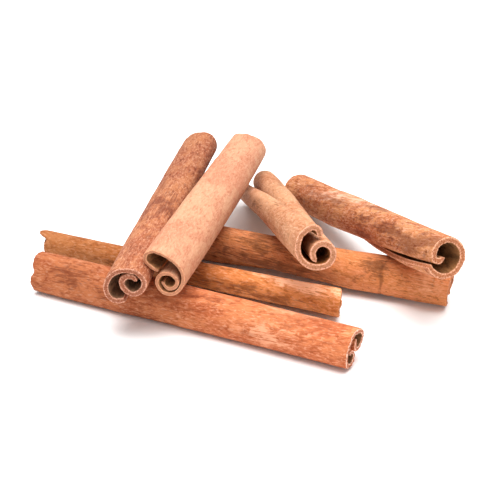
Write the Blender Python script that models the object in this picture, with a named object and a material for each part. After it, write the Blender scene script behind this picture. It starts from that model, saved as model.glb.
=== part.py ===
"""Stack of cinnamon sticks.

Seven sticks lie across each other: three on the table, two leaning pairs on top of them.
Each stick is one strip of dried bark, rolled up from its two long edges. Its cross-section
is a chain of arcs, given at the back end and at the front end of the stick, and the roll
passes evenly from the one to the other.

A stick's own axes are X across it, Y from its front end to its back end and Z up.
Sizes are in millimetres and degrees until the mesh is placed.
"""

import math
from collections import namedtuple

import bmesh
import bpy
import numpy as np

MM = 0.001

# Facets of one strip: across the bark from edge to edge, and along the stick.
FACETS_ACROSS = 40
FACETS_ALONG = 6

# A roll's line is worked out at this many points before its facets are picked from it.
FINE_POINTS = 1200

# Length over which the bend of one arc passes into the bend of the next.
BEND_BLEND = 0.5

# Facets are closer together where the bark curls tightly: this much turning counts
# as much as 1 mm of length.
TURN_PER_MM = math.radians(40)

SMOOTH_BELOW = math.radians(50)

# Unevenness of a broken end: a long and a short wave, in radians across the bark, and
# the height of the short one as a share of the long one.
LONG_WAVE = 9.0
SHORT_WAVE = 23.0
SHORT_WAVE_HEIGHT = 0.6
WAVE_START_PER_MM = 2.0

BARK_ROUGHNESS = 0.8

# start: heading of the bark's first edge, anticlockwise from X, seen from the front end.
# arcs: (radius, turn) of each stretch of bark; a clockwise turn is negative.
Roll = namedtuple("Roll", "start arcs")

# middle: centre of the stick. turned: about Z. tilted: about its own X, back end up.
# bark: thickness of the strip. belly: how much wider the roll is halfway along.
# bow: sideways and upward bend at the middle. cut: slope of the front end, per mm across
# and per mm up. chipped: depth of the unevenness of both ends.
Stick = namedtuple(
    "Stick",
    "name middle turned tilted length bark front back belly bow cut chipped colour",
)

STICKS = [
    Stick(
        name="stick_front",
        middle=(-11.72, -26.43, 4.36), turned=63.26, tilted=0.17, length=80.6, bark=1.12,
        front=Roll(-132, [(1.69, 58), (1.79, 150), (2.5, 75), (5.11, 83), (3.13, 85),
                          (2.07, 55), (1.49, 160), (1.54, 33)]),
        back=Roll(-55, [(3.09, 15), (1.33, 90), (2.15, 120), (2.59, 60), (9.75, 21),
                        (3.48, 59), (1.58, 120), (1.0, 50)]),
        belly=-0.02, bow=(0.0, 0.0), cut=(0.0, 0.0), chipped=0.35,
        colour=(0.62, 0.24, 0.10),
    ),
    Stick(
        name="stick_second",
        middle=(-13.1, -6.8, 3.5), turned=65.05, tilted=-0.1, length=78.3, bark=0.9,
        front=Roll(100, [(1.05, -139), (1.65, -148), (2.35, -118), (3.35, -146), (3.0, -87)]),
        back=Roll(101, [(1.05, -139), (1.55, -149), (2.2, -118), (2.95, -148), (2.7, -88)]),
        belly=-0.06, bow=(0.0, -0.1), cut=(-0.42, 0.12), chipped=0.6,
        colour=(0.40, 0.17, 0.06),
    ),
    Stick(
        name="stick_lean_left",
        middle=(-18.36, 4.5, 14.94), turned=-10.19, tilted=2.59, length=77.2, bark=1.3,
        front=Roll(96, [(0.91, 62), (1.92, 157), (2.66, 177), (3.26, 31), (5.12, 112),
                        (2.51, 122)]),
        back=Roll(94, [(1.4, 64), (1.69, 150), (3.1, 170), (2.57, 46), (5.02, 113),
                       (2.34, 118)]),
        belly=0.0, bow=(-0.1, 0.1), cut=(0.0, 0.0), chipped=0.35,
        colour=(0.52, 0.20, 0.10),
    ),
    Stick(
        name="stick_lean_right",
        middle=(-7.46, 6.82, 15.45), turned=-13.43, tilted=-0.13, length=79.7, bark=0.85,
        front=Roll(160, [(8.8, -17), (1.77, -150), (8.81, -41), (4.39, -94), (2.61, -140),
                         (2.28, -140), (1.64, -200)]),
        back=Roll(177, [(6.83, -17), (1.5, -150), (8.47, -40), (3.62, -105), (2.49, -132),
                        (2.1, -152), (1.41, -191)]),
        belly=0.04, bow=(0.25, 0.0), cut=(0.0, 0.0), chipped=0.25,
        colour=(0.76, 0.42, 0.24),
    ),
    Stick(
        name="stick_back",
        middle=(13.67, -2.44, 4.98), turned=68.2, tilted=0.2, length=75.1, bark=0.95,
        front=Roll(182, [(3.3, -49), (4.6, -105), (4.25, -92), (2.95, -102), (3.15, -122),
                         (1.5, -93)]),
        back=Roll(213, [(1.35, -122), (3.45, -168), (8.3, -40), (2.3, -120), (1.5, -127),
                        (1.3, -70)]),
        belly=-0.02, bow=(0.0, 0.0), cut=(-0.08, 0.08), chipped=0.3,
        colour=(0.42, 0.13, 0.05),
    ),
    Stick(
        name="stick_middle",
        middle=(10.04, 4.5, 13.79), turned=8.6, tilted=-13.17, length=81.2, bark=1.4,
        front=Roll(71, [(1.51, 131), (4.55, 61), (4.5, 116), (2.57, 126), (2.15, 150),
                        (0.85, 56)]),
        back=Roll(119, [(1.28, 151), (3.23, 70), (6.42, 64), (3.69, 92), (2.59, 153),
                        (1.64, 47)]),
        belly=0.0, bow=(0.0, -0.3), cut=(0.0, 0.0), chipped=0.3,
        colour=(0.70, 0.37, 0.19),
    ),
    Stick(
        name="stick_right",
        middle=(30.18, 5.03, 11.56), turned=22.66, tilted=-10.18, length=77.2, bark=1.5,
        front=Roll(-111, [(1.1, -163), (3.92, -33), (3.5, -6), (2.95, -58), (4.16, -239),
                          (0.9, 20)]),
        back=Roll(-27, [(1.43, -147), (4.49, -98), (3.55, -67), (4.13, -49), (4.38, -70),
                        (1.19, -40)]),
        belly=0.0, bow=(0.0, 0.0), cut=(0.0, 0.0), chipped=0.3,
        colour=(0.46, 0.18, 0.07),
    ),
]


def clear_scene():
    for obj in list(bpy.context.scene.objects):
        bpy.data.objects.remove(obj, do_unlink=True)


def running_sum(values, step):
    """Integral of evenly spaced values, starting from zero."""
    return np.concatenate([[0.0], np.cumsum((values[1:] + values[:-1]) * step / 2)])


def roll_between(stick, share):
    """The stick's roll at a share of its length, 0 at the back and 1 at the front."""
    back = np.array(stick.back.arcs, dtype=float)
    front = np.array(stick.front.arcs, dtype=float)
    swell = 1 + stick.belly * 4 * share * (1 - share)
    radius = back[:, 0] ** (1 - share) * front[:, 0] ** share * swell
    turn = back[:, 1] * (1 - share) + front[:, 1] * share
    start = stick.back.start * (1 - share) + stick.front.start * share
    return start, radius, turn


def section(stick, share, count):
    """Outer and inner surface of the bark in one cross-section, as count points each.

    The outer outline is centred on the stick's own axis.
    """
    start, radius, turn = roll_between(stick, share)
    joints = np.cumsum(radius * np.radians(np.abs(turn)))
    length = joints[-1]
    fine = np.linspace(0, length, FINE_POINTS)
    step = fine[1]
    bend = (np.sign(turn) / radius)[np.searchsorted(joints[:-1], fine, side="right")]
    window = 2 * int(BEND_BLEND / step / 2) + 1
    padded = np.pad(bend, window // 2, mode="edge")
    bend = np.convolve(padded, np.ones(window) / window, mode="valid")
    heading = math.radians(start) + running_sum(bend, step)
    line = np.stack([running_sum(np.cos(heading), step), running_sum(np.sin(heading), step)])

    measure = running_sum(np.abs(bend) / TURN_PER_MM + 1, step)
    picked = np.interp(np.linspace(0, measure[-1], count), measure, fine)
    line = np.stack([np.interp(picked, fine, axis) for axis in line], axis=1)
    heading = np.interp(picked, fine, heading)

    outward = np.stack([np.sin(heading), -np.cos(heading)], axis=1) * np.sign(turn[0])
    outer = line + outward * stick.bark / 2
    inner = line - outward * stick.bark / 2
    centre = (outer.max(axis=0) + outer.min(axis=0)) / 2
    return outer - centre, inner - centre


def chip(stick, across):
    """How far the uneven end of the bark stands out, by share of the way across it."""
    long_wave = math.sin(LONG_WAVE * across + WAVE_START_PER_MM * stick.length)
    short_wave = SHORT_WAVE_HEIGHT * math.sin(SHORT_WAVE * across)
    return stick.chipped * (long_wave + short_wave) / (1 + SHORT_WAVE_HEIGHT)


def place(stick, point, share, across):
    """A point of a cross-section, moved to its place in the stick's own axes."""
    side, rise = point
    hump = 4 * share * (1 - share)
    slope = stick.cut[0] * side + stick.cut[1] * rise
    towards_front = (share - 0.5) * stick.length + slope * share
    towards_front += chip(stick, across) * (2 * share - 1)
    return side + stick.bow[0] * hump, -towards_front, rise + stick.bow[1] * hump


def rolled_strip(stick):
    """Mesh of one stick: a flat grid is thickened, then every point is rolled into place."""
    bm = bmesh.new()
    bmesh.ops.create_grid(bm, x_segments=FACETS_ACROSS, y_segments=FACETS_ALONG, size=0.5)
    extruded = bmesh.ops.extrude_face_region(bm, geom=bm.faces[:])["geom"]
    outer_side = {item for item in extruded if isinstance(item, bmesh.types.BMVert)}
    sections = [
        section(stick, row / FACETS_ALONG, FACETS_ACROSS + 1) for row in range(FACETS_ALONG + 1)
    ]
    for vert in bm.verts:
        column = round((vert.co.x + 0.5) * FACETS_ACROSS)
        row = round((vert.co.y + 0.5) * FACETS_ALONG)
        outer, inner = sections[row]
        point = outer[column] if vert in outer_side else inner[column]
        vert.co = place(stick, point, row / FACETS_ALONG, column / FACETS_ACROSS)
        vert.co *= MM
    bmesh.ops.recalc_face_normals(bm, faces=bm.faces)
    mesh = bpy.data.meshes.new(stick.name)
    bm.to_mesh(mesh)
    bm.free()
    mesh.shade_smooth()
    mesh.set_sharp_from_angle(angle=SMOOTH_BELOW)
    return mesh


def bark_material(stick):
    material = bpy.data.materials.new(stick.name + "_bark")
    material.use_nodes = True
    shader = material.node_tree.nodes["Principled BSDF"]
    shader.inputs["Base Color"].default_value = (*stick.colour, 1.0)
    shader.inputs["Roughness"].default_value = BARK_ROUGHNESS
    shader.inputs["Metallic"].default_value = 0.0
    return material


def make_stick(stick):
    obj = bpy.data.objects.new(stick.name, rolled_strip(stick))
    obj.data.materials.append(bark_material(stick))
    obj.location = [value * MM for value in stick.middle]
    obj.rotation_euler = (math.radians(stick.tilted), 0.0, math.radians(stick.turned))
    bpy.context.scene.collection.objects.link(obj)
    return obj


def stand_on_origin(objects):
    """Move the whole pile so that its box stands on the origin, centred in X and Y."""
    bpy.context.view_layer.update()
    points = np.array([obj.matrix_world @ vert.co for obj in objects for vert in obj.data.vertices])
    low = points.min(axis=0)
    high = points.max(axis=0)
    shift = ((low[0] + high[0]) / 2, (low[1] + high[1]) / 2, low[2])
    for obj in objects:
        obj.location = [value - move for value, move in zip(obj.location, shift)]
    bpy.context.view_layer.update()


def main():
    clear_scene()
    stand_on_origin([make_stick(stick) for stick in STICKS])


main()
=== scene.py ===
"""Stack of cinnamon sticks: rolled bark, its colours and the table it lies on.

Each stick is one slab of bark, modelled flat as a grid with a thickness and then rolled up
from its two long edges. The roll is a chain of arcs, given at the back end and at the front
end of the stick, and it passes evenly from the one to the other. A stick's own axes are
X across it, Y from its front end to its back end and Z up. Sizes are in millimetres and
degrees until a piece takes its place in the frame.
"""

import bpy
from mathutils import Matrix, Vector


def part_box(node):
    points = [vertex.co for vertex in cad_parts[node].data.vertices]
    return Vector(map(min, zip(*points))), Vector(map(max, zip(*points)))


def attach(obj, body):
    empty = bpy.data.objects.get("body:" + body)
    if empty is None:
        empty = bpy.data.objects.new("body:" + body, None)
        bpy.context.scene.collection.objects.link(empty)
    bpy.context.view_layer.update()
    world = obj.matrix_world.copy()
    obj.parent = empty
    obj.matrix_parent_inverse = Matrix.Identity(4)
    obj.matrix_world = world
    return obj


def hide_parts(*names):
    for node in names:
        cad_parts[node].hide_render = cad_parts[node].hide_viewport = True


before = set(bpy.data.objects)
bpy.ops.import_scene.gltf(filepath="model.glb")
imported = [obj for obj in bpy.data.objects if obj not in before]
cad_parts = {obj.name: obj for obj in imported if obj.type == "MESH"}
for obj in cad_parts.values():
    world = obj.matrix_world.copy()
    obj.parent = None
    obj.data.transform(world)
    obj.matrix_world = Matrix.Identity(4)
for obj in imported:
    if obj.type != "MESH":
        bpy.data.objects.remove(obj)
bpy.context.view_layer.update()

import math
from collections import namedtuple

import bmesh
import bpy
import numpy as np
from mathutils import Euler, Vector

bl_info = {
    "name": "Cinnamon stick pile",
    "version": (1, 0, 0),
    "blender": (4, 5, 0),
    "location": "3D View > Sidebar > Cinnamon",
    "description": "Rolls the bark sticks of the pile and sets up the table and the lights",
    "category": "Add Mesh",
}

MM = 0.001
BODY = "root"

# The solids that the frame holds: facets across and along, used to find a stick's place.
FRAME_FACETS_ACROSS = 40
FRAME_FACETS_ALONG = 6
LONG_WAVE = 9.0
SHORT_WAVE = 23.0
SHORT_WAVE_HEIGHT = 0.6
WAVE_START_PER_MM = 2.0

# A roll's line is worked out at this many points before its facets are picked from it.
FINE_POINTS = 1200
BEND_BLEND = 0.5
TURN_PER_MM = math.radians(40)

# How much closer together the rows of faces are at the two ends than at the middle.
END_CROWDING = 0.6
# An uneven end draws this much of the stick's length along with it.
END_REACH = 7.0

# Relief of the bark: the width across it and the length along it of the largest bumps, in
# mm, and where the height isn't a stick's own, the height. Both ends take their raggedness
# from one pattern, the back end this far along it.
WRINKLE_SIZE = (5.0, 16.0)
RIDGE_SIZE = (1.2, 9.0)
PORE_SIZE = (0.55, 1.1)
PORE_SHARE_OF_RIDGE = 0.5
INNER_WAVE_SIZE, INNER_WAVE_HEIGHT = (3.0, 18.0), 0.05
INNER_GRAIN_SIZE, INNER_GRAIN_HEIGHT = (0.6, 6.0), 0.04
TEAR_SIZE, TEAR_HEIGHT = (2.2, 9.0), 0.15
SPLINTER_SIZE, SPLINTER_HEIGHT = (0.40, 1.6), 0.14
SPLINTER_DEPTH = 10
BACK_END_AT = 40.0
RING_WANDER_SIZE, RING_WANDER = (5.0, 9.0), 1.2
# The bark's long edges are this much thinner, and its ends follow this share of the chips.
EDGE_THINNING = 0.3
CHIP_SHARE = 0.5

# start: heading of the bark's first edge, anticlockwise from X, seen from the front end.
# arcs: (radius, turn) of each stretch of bark; a clockwise turn is negative.
Roll = namedtuple("Roll", "start arcs")

# One nick or point in the back end: its middle as a share of the way across the bark, its
# width in mm and how far it goes along the stick, negative for a nick.
Nick = namedtuple("Nick", "at width reach")

# skin, patch, fleck, stain: the bark's own colour, its broad patches, its pale
# flecks, also used for painted highlights, and its dark marks, also used for painted shade.
# inner: the inside of the bark. cut: its cut edge.
Tones = namedtuple("Tones", "skin patch fleck stain inner cut")

# How strong each kind of mark is, from 0 to 1: pale and dark flecks, broad stains, fine
# veins. back, front: brightness of the two ends of the stick, painted light and shade.
Marks = namedtuple("Marks", "pale dark stains veins back front")

# A ring around the stick, from the back end in mm: a groove of this width and depth, and
# how much lower the bark lies behind it.
Ring = namedtuple("Ring", "along width depth drop")

# One patch of darker bark, or of paler bark where its strength is negative: its middle
# across the bark and along it from the back end, and its size each way, all in mm. Some are
# stains and pale streaks in the bark, some painted shade and painted highlights.
Blot = namedtuple("Blot", "across along width length strength")

# One grain of colour on the flat bark: the size of its marks in mm, a shift that keeps it
# apart from the others, and how fine, rough and twisted its edges are.
Grain = namedtuple("Grain", "width length shift detail roughness distortion")
PATCHES = Grain(8.0, 20.0, 0.0, 3.0, 0.55, 0.4)
MOTTLE = Grain(2.0, 4.2, 5.0, 5.0, 0.65, 0.8)
FLECKS = Grain(0.40, 1.5, 9.0, 4.0, 0.62, 0.7)
FIBRES = Grain(0.30, 4.5, 13.0, 3.0, 0.6, 0.4)
STAINS = Grain(3.6, 6.5, 17.0, 6.0, 0.70, 1.2)
VEINS = Grain(1.7, 2.6, 29.0, 3.0, 0.6, 1.4)
CRUMB_SIZE = 0.32

# middle: centre of the stick. turned: about Z. tilted: about its own X, back end up.
# bark: thickness. belly: how much wider the roll is halfway along. bow: sideways and
# upward bend at the middle. cut: slope of the front end, per mm across and per mm up.
# chipped: unevenness of both ends. ridges, wrinkles: height of the fine and broad relief.
Stick = namedtuple(
    "Stick",
    "node slot seed middle turned tilted length bark front back belly bow cut chipped "
    "ridges wrinkles nicks rings blots tones marks",
)

FRONT = Stick(
    node="stick_front", slot="bark_orange", seed=11,
    middle=(-11.72, -26.43, 4.36), turned=63.26, tilted=0.17, length=80.6, bark=1.12,
    front=Roll(-132, [(1.69, 58), (1.79, 150), (2.5, 75), (5.11, 83), (3.13, 85),
                      (2.07, 55), (1.49, 160), (1.54, 33)]),
    back=Roll(-55, [(3.09, 15), (1.33, 90), (2.15, 120), (2.59, 60), (9.75, 21),
                    (3.48, 59), (1.58, 120), (1.0, 50)]),
    belly=-0.02, bow=(0.0, 0.0), cut=(0.0, 0.0), chipped=0.35,
    ridges=0.05, wrinkles=0.06,
    nicks=[Nick(0.5, 30.0, 0.5), Nick(0.47, 3.5, 0.4), Nick(0.575, 1.6, -0.7)],
    rings=[],
    blots=[Blot(12.0, 10.0, 3.5, 7.0, 0.9), Blot(14.5, 20.0, 2.5, 9.0, 0.7),
           Blot(11.5, 44.0, 1.2, 9.0, 0.8), Blot(14.0, 73.0, 3.5, 7.0, 0.35),
           Blot(17.0, 62.0, 4.0, 12.0, -0.5), Blot(10.0, 66.0, 3.0, 9.0, -0.6)],
    tones=Tones(skin=(0.60, 0.19, 0.074), patch=(0.46, 0.12, 0.044), fleck=(0.80, 0.39, 0.23),
                stain=(0.21, 0.045, 0.016), inner=(0.28, 0.12, 0.050), cut=(0.72, 0.43, 0.32)),
    marks=Marks(pale=0.50, dark=0.60, stains=0.50, veins=0.0, back=0.74, front=1.10),
)
SECOND = Stick(
    node="stick_second", slot="bark_ochre", seed=23,
    middle=(-13.1, -6.8, 3.5), turned=65.05, tilted=-0.1, length=78.3, bark=0.9,
    front=Roll(100, [(1.05, -139), (1.65, -148), (2.35, -118), (3.35, -146), (3.0, -87)]),
    back=Roll(101, [(1.05, -139), (1.55, -149), (2.2, -118), (2.95, -148), (2.7, -88)]),
    belly=-0.06, bow=(0.0, -0.1), cut=(-0.42, 0.12), chipped=0.6,
    ridges=0.05, wrinkles=0.05,
    nicks=[Nick(0.645, 2.2, 1.9), Nick(0.565, 1.6, -1.0), Nick(0.43, 5.0, -0.9)],
    rings=[],
    blots=[Blot(9.5, 55.0, 2.5, 25.0, 0.8), Blot(14.0, 68.0, 3.0, 14.0, -0.9)],
    tones=Tones(skin=(0.53, 0.19, 0.062), patch=(0.43, 0.13, 0.033), fleck=(0.88, 0.49, 0.31),
                stain=(0.14, 0.042, 0.012), inner=(0.24, 0.10, 0.040), cut=(0.55, 0.24, 0.12)),
    marks=Marks(pale=0.28, dark=0.55, stains=0.60, veins=0.0, back=0.75, front=1.38),
)
LEAN_LEFT = Stick(
    node="stick_lean_left", slot="bark_speckled", seed=37,
    middle=(-18.36, 4.5, 14.94), turned=-10.19, tilted=2.59, length=77.2, bark=1.3,
    front=Roll(96, [(0.91, 62), (1.92, 157), (2.66, 177), (3.26, 31), (5.12, 112),
                    (2.51, 122)]),
    back=Roll(94, [(1.4, 64), (1.69, 150), (3.1, 170), (2.57, 46), (5.02, 113),
                   (2.34, 118)]),
    belly=0.0, bow=(-0.1, 0.1), cut=(0.0, 0.0), chipped=0.35,
    ridges=0.06, wrinkles=0.09, nicks=[],
    rings=[],
    blots=[Blot(17.0, 45.0, 5.0, 10.0, 0.8), Blot(13.0, 22.0, 3.5, 9.0, 0.6)],
    tones=Tones(skin=(0.44, 0.16, 0.069), patch=(0.34, 0.098, 0.044), fleck=(0.66, 0.34, 0.21),
                stain=(0.17, 0.046, 0.024), inner=(0.30, 0.15, 0.080), cut=(0.56, 0.27, 0.18)),
    marks=Marks(pale=0.55, dark=0.80, stains=0.80, veins=0.35, back=0.88, front=1.02),
)
LEAN_RIGHT = Stick(
    node="stick_lean_right", slot="bark_pale", seed=41,
    middle=(-7.46, 6.82, 15.45), turned=-13.43, tilted=-0.13, length=79.7, bark=0.85,
    front=Roll(160, [(8.8, -17), (1.77, -150), (8.81, -41), (4.39, -94), (2.61, -140),
                     (2.28, -140), (1.64, -200)]),
    back=Roll(177, [(6.83, -17), (1.5, -150), (8.47, -40), (3.62, -105), (2.49, -132),
                    (2.1, -152), (1.41, -191)]),
    belly=0.04, bow=(0.25, 0.0), cut=(0.0, 0.0), chipped=0.25,
    ridges=0.025, wrinkles=0.035, nicks=[],
    rings=[Ring(19.0, 0.3, 0.12, 0.12)],
    blots=[Blot(8.5, 19.5, 2.5, 1.8, 0.45)],
    tones=Tones(skin=(0.61, 0.31, 0.18), patch=(0.55, 0.23, 0.13), fleck=(0.72, 0.44, 0.30),
                stain=(0.36, 0.12, 0.060), inner=(0.42, 0.19, 0.080), cut=(0.60, 0.28, 0.15)),
    marks=Marks(pale=0.40, dark=0.60, stains=0.15, veins=0.10, back=0.92, front=1.0),
)
BACK = Stick(
    node="stick_back", slot="bark_rust", seed=53,
    middle=(13.67, -2.44, 4.98), turned=68.2, tilted=0.2, length=75.1, bark=0.95,
    front=Roll(182, [(3.3, -49), (4.6, -105), (4.25, -92), (2.95, -102), (3.15, -122),
                     (1.5, -93)]),
    back=Roll(213, [(1.35, -122), (3.45, -168), (8.3, -40), (2.3, -120), (1.5, -127),
                    (1.3, -70)]),
    belly=-0.02, bow=(0.0, 0.0), cut=(-0.08, 0.08), chipped=0.3,
    ridges=0.04, wrinkles=0.07, nicks=[],
    rings=[Ring(59.5, 0.5, 0.14, 0.0), Ring(63.5, 0.4, 0.10, 0.0)],
    # Painted shade: the blot at 33 mm darkens the lower roll, which faces down, and the one at
    # 27 mm lies where stick_lean_right's shadow falls. The blot at 57.5 mm is a dark patch,
    # partly the painted shadow of stick_right.
    blots=[Blot(10.0, 57.5, 4.5, 5.0, 1.0), Blot(3.0, 33.0, 3.0, 22.0, 0.9),
           Blot(9.0, 27.0, 6.0, 14.0, 0.6), Blot(9.0, 70.0, 6.0, 6.0, -0.5)],
    tones=Tones(skin=(0.51, 0.17, 0.063), patch=(0.51, 0.17, 0.054), fleck=(0.73, 0.36, 0.19),
                stain=(0.11, 0.034, 0.012), inner=(0.20, 0.080, 0.035), cut=(0.42, 0.16, 0.090)),
    marks=Marks(pale=0.38, dark=0.65, stains=0.75, veins=0.12, back=0.94, front=1.16),
)
MIDDLE = Stick(
    node="stick_middle", slot="bark_tan", seed=67,
    middle=(10.04, 4.5, 13.79), turned=8.6, tilted=-13.17, length=81.2, bark=1.4,
    front=Roll(71, [(1.51, 131), (4.55, 61), (4.5, 116), (2.57, 126), (2.15, 150),
                    (0.85, 56)]),
    back=Roll(119, [(1.28, 151), (3.23, 70), (6.42, 64), (3.69, 92), (2.59, 153),
                    (1.64, 47)]),
    belly=0.0, bow=(0.0, -0.3), cut=(0.0, 0.0), chipped=0.3,
    ridges=0.03, wrinkles=0.06, nicks=[],
    rings=[],
    # Both blots darken the bark near its left edge: olive-brown patches, partly painted shade
    # where that edge faces down and to the left.
    blots=[Blot(4.5, 33.0, 2.5, 14.0, 0.6), Blot(1.5, 50.0, 3.0, 8.0, 0.5)],
    tones=Tones(skin=(0.60, 0.29, 0.15), patch=(0.48, 0.19, 0.086), fleck=(0.78, 0.50, 0.35),
                stain=(0.22, 0.085, 0.030), inner=(0.42, 0.16, 0.050), cut=(0.66, 0.32, 0.21)),
    marks=Marks(pale=0.45, dark=0.35, stains=0.45, veins=0.10, back=0.90, front=1.05),
)
RIGHT = Stick(
    node="stick_right", slot="bark_brown", seed=79,
    middle=(30.18, 5.03, 11.56), turned=22.66, tilted=-10.18, length=77.2, bark=1.5,
    front=Roll(-111, [(1.1, -163), (3.92, -33), (3.5, -6), (2.95, -58), (4.16, -239),
                      (0.9, 20)]),
    back=Roll(-27, [(1.43, -147), (4.49, -98), (3.55, -67), (4.13, -49), (4.38, -70),
                    (1.19, -40)]),
    belly=0.0, bow=(0.0, 0.0), cut=(0.0, 0.0), chipped=0.3,
    ridges=0.06, wrinkles=0.10, nicks=[],
    rings=[],
    # The pale blot at 30 mm is a painted highlight along the top of the stick.
    blots=[Blot(8.0, 45.0, 2.6, 6.0, 0.8), Blot(7.0, 54.0, 2.2, 4.5, 0.7),
           Blot(6.5, 60.0, 3.0, 4.5, 0.6), Blot(14.0, 14.0, 1.4, 10.0, 0.6),
           Blot(13.0, 30.0, 3.5, 34.0, -0.5)],
    tones=Tones(skin=(0.56, 0.23, 0.094), patch=(0.45, 0.14, 0.050), fleck=(0.79, 0.48, 0.35),
                stain=(0.15, 0.035, 0.014), inner=(0.34, 0.15, 0.055), cut=(0.64, 0.32, 0.20)),
    marks=Marks(pale=0.45, dark=0.70, stains=0.70, veins=0.20, back=0.92, front=1.05),
)


# Rolling a stick

def running_sum(values, step):
    """Integral of evenly spaced values, starting from zero."""
    return np.concatenate([[0.0], np.cumsum((values[1:] + values[:-1]) * step / 2)])


def roll_between(stick, share):
    """The stick's roll at a share of its length, 0 at the back and 1 at the front."""
    back = np.array(stick.back.arcs, dtype=float)
    front = np.array(stick.front.arcs, dtype=float)
    swell = 1 + stick.belly * 4 * share * (1 - share)
    radius = back[:, 0] ** (1 - share) * front[:, 0] ** share * swell
    turn = back[:, 1] * (1 - share) + front[:, 1] * share
    start = stick.back.start * (1 - share) + stick.front.start * share
    return start, radius, turn


def section(stick, share, count):
    """Middle line of the bark in one cross-section: points, outward directions and the
    distance of each from the bark's first edge. The outer outline is centred on the axis.
    """
    start, radius, turn = roll_between(stick, share)
    joints = np.cumsum(radius * np.radians(np.abs(turn)))
    length = joints[-1]
    fine = np.linspace(0, length, FINE_POINTS)
    step = fine[1]
    bend = (np.sign(turn) / radius)[np.searchsorted(joints[:-1], fine, side="right")]
    window = 2 * int(BEND_BLEND / step / 2) + 1
    padded = np.pad(bend, window // 2, mode="edge")
    bend = np.convolve(padded, np.ones(window) / window, mode="valid")
    heading = math.radians(start) + running_sum(bend, step)
    line = np.stack([running_sum(np.cos(heading), step), running_sum(np.sin(heading), step)])

    measure = running_sum(np.abs(bend) / TURN_PER_MM + 1, step)
    picked = np.interp(np.linspace(0, measure[-1], count), measure, fine)
    line = np.stack([np.interp(picked, fine, axis) for axis in line], axis=1)
    heading = np.interp(picked, fine, heading)
    outward = np.stack([np.sin(heading), -np.cos(heading)], axis=1) * np.sign(turn[0])
    outer = line + outward * stick.bark / 2
    centre = (outer.max(axis=0) + outer.min(axis=0)) / 2
    return line - centre, outward, picked


def chip(stick, across):
    """How far the uneven end of the bark stands out, by share of the way across it."""
    long_wave = np.sin(LONG_WAVE * across + WAVE_START_PER_MM * stick.length)
    short_wave = SHORT_WAVE_HEIGHT * np.sin(SHORT_WAVE * across)
    return stick.chipped * (long_wave + short_wave) / (1 + SHORT_WAVE_HEIGHT)


def lay_along(stick, side, rise, share, stand_out):
    """Points of cross-sections, moved to their places in the stick's own axes."""
    hump = 4 * share * (1 - share)
    slope = stick.cut[0] * side + stick.cut[1] * rise
    towards_front = (share - 0.5) * stick.length + slope * share + stand_out
    points = [side + stick.bow[0] * hump, -towards_front, rise + stick.bow[1] * hump]
    return np.stack(points, axis=-1)


def turned_into_place(stick, points):
    turn = Euler((math.radians(stick.tilted), 0.0, math.radians(stick.turned))).to_matrix()
    return points @ np.array(turn).T


def shift_to_node(stick):
    """Move from the turned stick's own centre to its place in the frame, in mm."""
    across = np.linspace(0, 1, FRAME_FACETS_ACROSS + 1)
    sheets = []
    for share in np.linspace(0, 1, FRAME_FACETS_ALONG + 1):
        line, outward, _ = section(stick, share, FRAME_FACETS_ACROSS + 1)
        for side in (0.5, -0.5):
            point = line + outward * stick.bark * side
            stand_out = chip(stick, across) * (2 * share - 1)
            sheets.append(lay_along(stick, point[:, 0], point[:, 1], share, stand_out))
    points = turned_into_place(stick, np.concatenate(sheets))
    low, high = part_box(stick.node)
    wanted = np.array((low + high) / 2) / MM
    return wanted - (points.max(axis=0) + points.min(axis=0)) / 2


class Relief:
    """Smooth random heights over the flat bark, the same for the same seed."""

    CELLS = 64

    def __init__(self, seed):
        self.random = np.random.default_rng(seed)

    def bumps(self, across, along, width, length):
        """One layer between -1 and 1, with bumps of about this width and length in mm."""
        heights = self.random.uniform(-1, 1, (self.CELLS, self.CELLS))
        start = self.random.uniform(0, self.CELLS, 2)
        x = across / width + start[0]
        y = along / length + start[1]
        column, row = np.floor(x).astype(int), np.floor(y).astype(int)
        x, y = x - column, y - row
        x, y = x * x * (3 - 2 * x), y * y * (3 - 2 * y)

        def corner(right, up):
            return heights[(column + right) % self.CELLS, (row + up) % self.CELLS]

        lower = corner(0, 0) * (1 - x) + corner(1, 0) * x
        upper = corner(0, 1) * (1 - x) + corner(1, 1) * x
        return lower * (1 - y) + upper * y

    def layered(self, across, along, width, length, layers):
        """Several layers of bumps, each half the size and half the height of the last."""
        total = 0.0
        for layer in range(layers):
            scale = 0.5 ** layer
            total = total + scale * self.bumps(across, along, width * scale, length * scale)
        return total


def nicks_at(nicks, across, share_to_mm):
    """Sum of the back end's nicks and points, in mm along the stick."""
    reach = np.zeros_like(across)
    for nick in nicks:
        off_centre = (across - nick.at) * share_to_mm / (nick.width / 2)
        reach += nick.reach * np.exp(-off_centre ** 2)
    return reach


def rings_at(rings, relief, across_mm, along_mm):
    """Depths of the rings' grooves and of the steps behind them, in mm."""
    grooves, steps = np.zeros_like(along_mm), np.zeros_like(along_mm)
    for ring in rings:
        row = np.full_like(along_mm, ring.along)
        wander = RING_WANDER * relief.layered(across_mm, row, *RING_WANDER_SIZE, 3)
        past = (along_mm - ring.along - wander) / ring.width
        grooves += ring.depth * np.exp(-past ** 2)
        steps += ring.drop * np.clip(0.5 - past, 0, 1)
    return grooves, steps


def blots_and_painted_light_at(blots, across_mm, along_mm):
    """How dark the blots draw the bark, from stains and painted shade, negative where it is
    paler, from pale bark and painted highlights.
    """
    stained = np.zeros_like(along_mm)
    for blot in blots:
        sideways = (across_mm - blot.across) / blot.width
        lengthways = (along_mm - blot.along) / blot.length
        stained += blot.strength * np.exp(-(sideways ** 2 + lengthways ** 2) * 2)
    return stained


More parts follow.
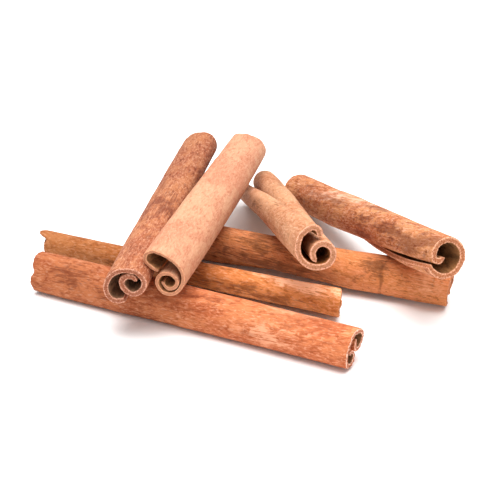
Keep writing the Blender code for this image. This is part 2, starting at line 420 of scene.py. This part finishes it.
def flat_slab(settings):
    """Bark before it is rolled: a unit grid with a thickness, Z 0 outside and 1 inside."""
    bm = bmesh.new()
    bmesh.ops.create_grid(
        bm, x_segments=settings.facets_across, y_segments=settings.facets_along, size=0.5
    )
    extruded = bmesh.ops.extrude_face_region(bm, geom=bm.faces[:])["geom"]
    lifted = [item for item in extruded if isinstance(item, bmesh.types.BMVert)]
    bmesh.ops.translate(bm, verts=lifted, vec=(0, 0, 1))
    walls = [edge for edge in bm.edges if abs(edge.verts[0].co.z - edge.verts[1].co.z) > 0.5]
    bmesh.ops.subdivide_edges(bm, edges=walls, cuts=settings.rim_cuts, use_grid_fill=True)
    bmesh.ops.recalc_face_normals(bm, faces=bm.faces)
    return bm


def roll_bark(stick, settings):
    """Mesh of one stick in the frame, with the attributes its material reads."""
    bm = flat_slab(settings)
    mesh = bpy.data.meshes.new(stick.node + "_bark")
    bm.to_mesh(mesh)
    bm.free()
    flat = np.zeros(len(mesh.vertices) * 3)
    mesh.vertices.foreach_get("co", flat)
    flat = flat.reshape(-1, 3)
    columns, rows = settings.facets_across, settings.facets_along
    column = np.rint((flat[:, 0] + 0.5) * columns).astype(int)
    row = np.rint((flat[:, 1] + 0.5) * rows).astype(int)
    through = np.clip(flat[:, 2], 0.0, 1.0)

    even = np.linspace(0, 1, rows + 1)
    shares = even - END_CROWDING * np.sin(2 * math.pi * even) / (2 * math.pi)
    sections = [section(stick, share, columns + 1) for share in shares]
    lines = np.stack([entry[0] for entry in sections])[row, column]
    outward = np.stack([entry[1] for entry in sections])[row, column]
    distances = np.stack([entry[2] for entry in sections])
    across_mm = distances[row, column]
    width_mm = distances[:, -1].mean()
    share = shares[row]
    along_mm = share * stick.length
    across = column / columns

    relief = Relief(stick.seed)
    outside = settings.relief * (
        stick.wrinkles * relief.layered(across_mm, along_mm, *WRINKLE_SIZE, 3)
        + stick.ridges * relief.layered(across_mm, along_mm, *RIDGE_SIZE, 3)
        + PORE_SHARE_OF_RIDGE * stick.ridges * relief.bumps(across_mm, along_mm, *PORE_SIZE)
    )
    grooves, steps = rings_at(stick.rings, relief, across_mm, along_mm)
    outside -= grooves
    inside = settings.relief * (
        INNER_WAVE_HEIGHT * relief.layered(across_mm, along_mm, *INNER_WAVE_SIZE, 2)
        + INNER_GRAIN_HEIGHT * relief.bumps(across_mm, along_mm, *INNER_GRAIN_SIZE)
    )
    off_edge = np.minimum(across_mm, width_mm - across_mm)
    thinning = EDGE_THINNING * np.clip(1 - off_edge / stick.bark, 0, 1) ** 2
    height = stick.bark * (0.5 - through)
    height *= 1 - thinning
    height += (outside - steps) * (1 - through) + inside * through

    front = share > 0.5
    to_end = np.where(front, 1 - share, share) * stick.length
    hold = np.clip(1 - to_end / END_REACH, 0, 1) ** 2
    end_row = np.where(front, 0.0, BACK_END_AT)
    ragged = (
        TEAR_HEIGHT * relief.layered(across_mm, end_row, *TEAR_SIZE, 3)
        + SPLINTER_HEIGHT * relief.bumps(across_mm, SPLINTER_DEPTH * through, *SPLINTER_SIZE)
    )
    rounding = 1 - np.sqrt(np.clip(1 - (2 * through - 1) ** 2, 0, 1))
    nicks = np.where(front, 0.0, nicks_at(stick.nicks, across, width_mm))
    reach = CHIP_SHARE * chip(stick, across) + ragged + nicks - settings.end_rounding * rounding
    stand_out = np.where(front, 1, -1) * reach * hold

    point = lines + outward * height[:, None]
    points = lay_along(stick, point[:, 0], point[:, 1], share, stand_out)
    points = (turned_into_place(stick, points) + shift_to_node(stick)) * MM
    mesh.vertices.foreach_set("co", points.ravel())

    sheet = mesh.attributes.new("sheet", "FLOAT_VECTOR", "POINT")
    sheet.data.foreach_set("vector", np.stack([across_mm, along_mm, through], axis=1).ravel())
    rise = mesh.attributes.new("rise", "FLOAT", "POINT")
    rise.data.foreach_set("value", outside * (1 - through) + inside * through)
    blot = mesh.attributes.new("blot", "FLOAT", "POINT")
    blot.data.foreach_set("value", blots_and_painted_light_at(stick.blots, across_mm, along_mm))
    mesh.shade_smooth()
    mesh.update()
    return mesh


# Materials

class Value:
    """A socket in a material. Arithmetic on it adds Math nodes."""

    def __init__(self, tree, socket):
        self.tree = tree
        self.socket = socket

    def math(self, operation, *operands):
        sockets = dict(enumerate(operands))
        return self.tree.node("ShaderNodeMath", {"operation": operation}, sockets)

    def __add__(self, other):
        return self.math("ADD", self, other)

    __radd__ = __add__

    def __sub__(self, other):
        return self.math("SUBTRACT", self, other)

    def __mul__(self, other):
        return self.math("MULTIPLY", self, other)

    __rmul__ = __mul__

    def __abs__(self):
        return self.math("ABSOLUTE", self)


class Finish:
    """A material and its node tree."""

    def __init__(self, name):
        self.material = bpy.data.materials.new(name)
        self.material.use_nodes = True
        self.tree = self.material.node_tree
        self.shader = self.tree.nodes["Principled BSDF"]

    def node(self, kind, settings=None, sockets=None, output=0):
        """Add a node: its settings first, then the values or links of its sockets."""
        node = self.tree.nodes.new(kind)
        for name, setting in (settings or {}).items():
            setattr(node, name, setting)
        for name, wanted in (sockets or {}).items():
            self.plug(node.inputs[name], wanted)
        return Value(self, node.outputs[output])

    def plug(self, socket, wanted):
        if isinstance(wanted, Value):
            self.tree.links.new(wanted.socket, socket)
        else:
            socket.default_value = wanted

    def attribute(self, name, output):
        return self.node("ShaderNodeAttribute", {"attribute_name": name}, output=output)

    def split(self, vector):
        """The three numbers of a vector."""
        node = self.tree.nodes.new("ShaderNodeSeparateXYZ")
        self.plug(node.inputs[0], vector)
        return [Value(self, output) for output in node.outputs]

    def scaled(self, vector, width, length, shift=0.0):
        """The flat bark's coordinates in units of this width and length, moved by shift."""
        sized = self.node("ShaderNodeVectorMath", {"operation": "MULTIPLY"},
                          {0: vector, 1: (1 / width, 1 / length, 0.0)})
        return self.node("ShaderNodeVectorMath", {"operation": "ADD"},
                         {0: sized, 1: (shift, -shift, shift)})

    def object_mm(self, size):
        """Object coordinates in units of size mm."""
        place = self.node("ShaderNodeTexCoord", output="Object")
        return self.node("ShaderNodeVectorMath", {"operation": "SCALE"},
                         {0: place, "Scale": 1 / (size * MM)})

    def grey(self, value):
        return self.node("ShaderNodeCombineXYZ", None, {0: value, 1: value, 2: value})

    def noise(self, vector, detail, roughness, distortion=0.0):
        return self.node("ShaderNodeTexNoise", {"noise_dimensions": "3D"},
                         {"Vector": vector, "Scale": 1.0, "Detail": detail,
                          "Roughness": roughness, "Distortion": distortion})

    def step(self, value, low, high):
        """0 below low, 1 above high and smooth between them."""
        return self.node("ShaderNodeMapRange", {"interpolation_type": "SMOOTHSTEP"},
                         {"Value": value, "From Min": low, "From Max": high})

    def mix(self, share, first, second, blend="MIX"):
        """Colour first where share is 0 and second where it is 1."""
        settings = {"data_type": "RGBA", "blend_type": blend}
        return self.node("ShaderNodeMix", settings,
                         {"Factor": share, 6: colour(first), 7: colour(second)}, output=2)

    def bump(self, height_mm, strength):
        sockets = {"Height": height_mm, "Strength": strength, "Distance": MM}
        return self.node("ShaderNodeBump", None, sockets)

    def set(self, sockets):
        """Values or links of the shader's own sockets."""
        for name, wanted in sockets.items():
            self.plug(self.shader.inputs[name], wanted)


def colour(tone):
    return tone if isinstance(tone, Value) else (*tone, 1.0)


def bark_finish(stick, settings):
    """Bark outside, inside and on its cut edges, read from the flat sheet's coordinates."""
    look = Finish(stick.slot)
    tones = stick.tones
    sheet = look.attribute("sheet", "Vector")
    rise = look.attribute("rise", "Fac")
    blot = look.attribute("blot", "Fac")
    _, along, through = look.split(sheet)

    def noise(grain):
        place = look.scaled(sheet, grain.width, grain.length, stick.seed + grain.shift)
        return look.noise(place, grain.detail, grain.roughness, grain.distortion)

    def brighter(tone, factor):
        return tuple(min(1.0, value * factor) for value in tone)

    # The skin: broad patches, then flecks, fibres, stains, veins and the placed blots, some of
    # them painted shade and painted highlights.
    marks = stick.marks
    broad, mottle, fleck = noise(PATCHES), noise(MOTTLE), noise(FLECKS)
    fibre, dark = noise(FIBRES), noise(STAINS)

    skin = look.mix(look.step(broad * 0.5 + mottle * 0.5, 0.43, 0.57), tones.skin, tones.patch)
    skin = look.mix(look.step(fleck, 0.50, 0.66) * marks.pale, skin, tones.fleck)
    skin = look.mix(look.step(fleck, 0.50, 0.36) * marks.dark * look.step(mottle, 0.40, 0.58),
                    skin, tones.stain)
    skin = look.mix(look.step(fibre, 0.55, 0.68) * (marks.dark * 0.6), skin, tones.stain)
    skin = look.mix(look.step(dark, 0.55, 0.70) * marks.stains, skin, tones.stain)
    if marks.veins:
        net = abs(noise(VEINS) - 0.5)
        veins = look.step(net, 0.035, 0.005) * marks.veins
        skin = look.mix(veins, skin, tones.fleck)
    torn = (mottle - 0.5) * 2.4 + (fibre - 0.5) * 2.6 + (fleck - 0.5) * 2.0
    # The placed blots with torn edges, darker where positive and paler where negative: stains
    # and pale streaks, and also painted shade and painted highlights.
    ragged = blot + torn * look.step(abs(blot), 0.02, 0.35)
    skin = look.mix(look.step(ragged, 0.25, 0.95) * 0.7, skin, tones.stain)
    skin = look.mix(look.step(ragged, -0.15, -0.85) * 0.7, skin, tones.fleck)
    # Painted shade: darker in the hollows of the relief. Then each end as bright as the stick
    # asks.
    skin = look.mix(look.step(rise, -0.03, -0.14) * 0.6, skin, tones.stain)
    # Painted light and shade along the stick: the back end and the front end drawn darker or
    # brighter.
    to_front = look.step(along, 0.1 * stick.length, 0.9 * stick.length)
    ends = to_front * (marks.front - marks.back) + marks.back
    skin = look.mix(1.0, skin, look.grey(ends), blend="MULTIPLY")

    # The inside of the bark, and its cut edge with a dark core between two pale lines.
    under = look.mix(look.step(mottle, 0.40, 0.65), tones.inner, brighter(tones.inner, 0.5))
    crumb = look.noise(look.object_mm(CRUMB_SIZE), detail=3.0, roughness=0.75)
    cut = look.mix(look.step(crumb, 0.42, 0.56), tones.cut, brighter(tones.patch, 0.8))
    cut = look.mix(look.step(crumb, 0.56, 0.68) * 0.7, cut, brighter(tones.stain, 1.5))
    core = look.step(through, 0.25, 0.45) * look.step(through, 0.80, 0.62)
    cut = look.mix(core * 0.65, cut, brighter(tones.patch, 0.85))
    pale_line = look.step(through, 0.02, 0.08) * look.step(through, 0.26, 0.14)
    inner_line = look.step(through, 0.76, 0.86) * look.step(through, 0.99, 0.94)
    edge_lines = (pale_line + inner_line) * look.step(crumb, 0.64, 0.46)
    cut = look.mix(edge_lines * 0.9, cut, brighter(tones.cut, 1.4))

    base = look.mix(look.step(through, 0.01, 0.10), skin, cut)
    base = look.mix(look.step(through, 0.90, 0.99), base, under)

    height = fibre * 0.08 + fleck * 0.10 + mottle * 0.10 + crumb * 0.06
    look.set({"Base Color": base, "Roughness": 0.66 + mottle * 0.3,
              "Normal": look.bump(height, 0.8), "Specular IOR Level": settings.sheen})
    return look.material


def make_stick(stick, settings):
    piece = bpy.data.objects.new(stick.node + "_rolled", roll_bark(stick, settings))
    bpy.context.scene.collection.objects.link(piece)
    piece.data.materials.append(bark_finish(stick, settings))
    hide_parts(stick.node)
    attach(piece, BODY)
    return piece


# Add-on

class BarkSettings(bpy.types.PropertyGroup):
    """How finely the sticks are rolled and how rough their bark is."""

    facets_across: bpy.props.IntProperty(
        name="Facets across", description="Faces from edge to edge of the bark",
        default=150, min=20, max=300)
    facets_along: bpy.props.IntProperty(
        name="Facets along", description="Faces along a stick", default=180, min=20, max=400)
    rim_cuts: bpy.props.IntProperty(
        name="Rim cuts", description="Cuts through the thickness of the bark's edges",
        default=5, min=1, max=12)
    relief: bpy.props.FloatProperty(
        name="Relief", description="Strength of the bark's ridges and wrinkles",
        default=1.0, min=0.0, max=3.0, subtype="FACTOR")
    end_rounding: bpy.props.FloatProperty(
        name="End rounding", description="How far a cut edge's corners are worn back, in mm",
        default=0.22, min=0.0, max=1.0)
    sheen: bpy.props.FloatProperty(
        name="Sheen", description="Strength of the light that glances off the bark",
        default=0.15, min=0.0, max=1.0, subtype="FACTOR")


class StageSettings(bpy.types.PropertyGroup):
    """The table, the lights and the camera."""

    table_radius: bpy.props.FloatProperty(
        name="Table radius", description="Radius of the pale table top",
        default=4.0, min=0.5, unit="LENGTH")
    table_colour: bpy.props.FloatVectorProperty(
        name="Table colour", description="Colour of the table top",
        default=(0.93, 0.93, 0.93), min=0.0, max=1.0, subtype="COLOR")
    room_light: bpy.props.FloatProperty(
        name="Room light", description="Even light from all around", default=0.72, min=0.0)
    lamp_power: bpy.props.FloatProperty(
        name="Lamp power", description="Power of the large soft lamp overhead",
        default=26.0, min=0.0, unit="POWER")
    lamp_size: bpy.props.FloatProperty(
        name="Lamp size", description="Side of the large soft lamp",
        default=1.1, min=0.1, unit="LENGTH")
    camera_distance: bpy.props.FloatProperty(
        name="Camera distance", description="From the camera to the table along its view",
        default=0.3297, min=0.1, unit="LENGTH")
    camera_height: bpy.props.FloatProperty(
        name="Camera height", description="How far down the camera looks, as an angle",
        default=math.radians(25.25), min=0.0, max=math.pi / 2, subtype="ANGLE")
    camera_lens: bpy.props.FloatProperty(
        name="Camera lens", description="Focal length in mm on a 36 mm sensor",
        default=93.6, min=10.0)


LAMP_PLACE = Vector((0.05, -0.05, 1.25))
# Where the camera's view meets the table, from the middle of the pile's box.
CAMERA_AIM = Vector((0.00187, 0.01423, 0.00024))


class StickOperator:
    """Rolls one group of sticks."""

    bl_options = {"REGISTER", "UNDO"}
    sticks = ()

    def execute(self, context):
        for stick in self.sticks:
            piece = make_stick(stick, context.scene.bark_settings)
            if not piece.data.polygons:
                raise RuntimeError(f"{stick.node} came out empty")
        return {"FINISHED"}


class CINNAMON_OT_lying_sticks(StickOperator, bpy.types.Operator):
    """Roll the sticks that lie on the table"""

    bl_idname = "cinnamon.lying_sticks"
    bl_label = "Lying Sticks"
    sticks = (FRONT, SECOND, BACK)


class CINNAMON_OT_leaning_pair(StickOperator, bpy.types.Operator):
    """Roll the pair of sticks that lies across the front of the pile"""

    bl_idname = "cinnamon.leaning_pair"
    bl_label = "Leaning Pair"
    sticks = (LEAN_LEFT, LEAN_RIGHT)


class CINNAMON_OT_propped_sticks(StickOperator, bpy.types.Operator):
    """Roll the sticks that are propped up on the back one"""

    bl_idname = "cinnamon.propped_sticks"
    bl_label = "Propped Sticks"
    sticks = (MIDDLE, RIGHT)


class CINNAMON_OT_stage(bpy.types.Operator):
    """Set up the table, the lights and the camera"""

    bl_idname = "cinnamon.stage"
    bl_label = "Table and Lights"
    bl_options = {"REGISTER", "UNDO"}

    def execute(self, context):
        settings = context.scene.stage_settings
        lay_table(settings)
        light_room(context.scene, settings)
        context.scene.camera = place_camera(settings)
        return {"FINISHED"}


def lay_table(settings):
    bm = bmesh.new()
    bmesh.ops.create_circle(bm, cap_ends=True, segments=96, radius=settings.table_radius)
    mesh = bpy.data.meshes.new("table_top")
    bm.to_mesh(mesh)
    bm.free()
    table = bpy.data.objects.new("table_top", mesh)
    bpy.context.scene.collection.objects.link(table)
    look = Finish("table_white")
    look.set({"Base Color": (*settings.table_colour, 1.0), "Roughness": 0.7,
              "Specular IOR Level": 0.2})
    mesh.materials.append(look.material)


def light_room(scene, settings):
    world = bpy.data.worlds.new("white_room")
    world.use_nodes = True
    background = world.node_tree.nodes["Background"]
    background.inputs["Color"].default_value = (1.0, 1.0, 1.0, 1.0)
    background.inputs["Strength"].default_value = settings.room_light
    scene.world = world
    lamp = bpy.data.lights.new("overhead_lamp", "AREA")
    lamp.shape = "SQUARE"
    lamp.size = settings.lamp_size
    lamp.energy = settings.lamp_power
    holder = bpy.data.objects.new("overhead_lamp", lamp)
    holder.location = LAMP_PLACE
    holder.rotation_euler = (-LAMP_PLACE).to_track_quat("-Z", "Y").to_euler()
    scene.collection.objects.link(holder)
    scene.view_settings.view_transform = "Standard"


def place_camera(settings):
    camera = bpy.data.cameras.new("camera")
    camera.lens = settings.camera_lens
    camera.sensor_width = 36.0
    holder = bpy.data.objects.new("camera", camera)
    down = settings.camera_height
    away = Vector((0.0, -math.cos(down), math.sin(down))) * settings.camera_distance
    holder.location = CAMERA_AIM + away
    holder.rotation_euler = (math.pi / 2 - down, 0.0, 0.0)
    bpy.context.scene.collection.objects.link(holder)
    return holder


OPERATORS = (
    CINNAMON_OT_lying_sticks,
    CINNAMON_OT_leaning_pair,
    CINNAMON_OT_propped_sticks,
    CINNAMON_OT_stage,
)


class CINNAMON_PT_pile(bpy.types.Panel):
    """Buttons and settings of the pile"""

    bl_label = "Cinnamon Pile"
    bl_idname = "CINNAMON_PT_pile"
    bl_space_type = "VIEW_3D"
    bl_region_type = "UI"
    bl_category = "Cinnamon"

    def draw(self, context):
        for settings in (context.scene.bark_settings, context.scene.stage_settings):
            box = self.layout.box()
            for name in settings.__annotations__:
                box.prop(settings, name)
        for operator in OPERATORS:
            self.layout.operator(operator.bl_idname)


CLASSES = (BarkSettings, StageSettings, *OPERATORS, CINNAMON_PT_pile)


def register():
    for cls in CLASSES:
        bpy.utils.register_class(cls)
    bpy.types.Scene.bark_settings = bpy.props.PointerProperty(type=BarkSettings)
    bpy.types.Scene.stage_settings = bpy.props.PointerProperty(type=StageSettings)


def unregister():
    del bpy.types.Scene.stage_settings
    del bpy.types.Scene.bark_settings
    for cls in reversed(CLASSES):
        bpy.utils.unregister_class(cls)


def main():
    register()
    bpy.ops.cinnamon.lying_sticks()
    bpy.ops.cinnamon.leaning_pair()
    bpy.ops.cinnamon.propped_sticks()
    bpy.ops.cinnamon.stage()


if __name__ == "__main__":
    main()
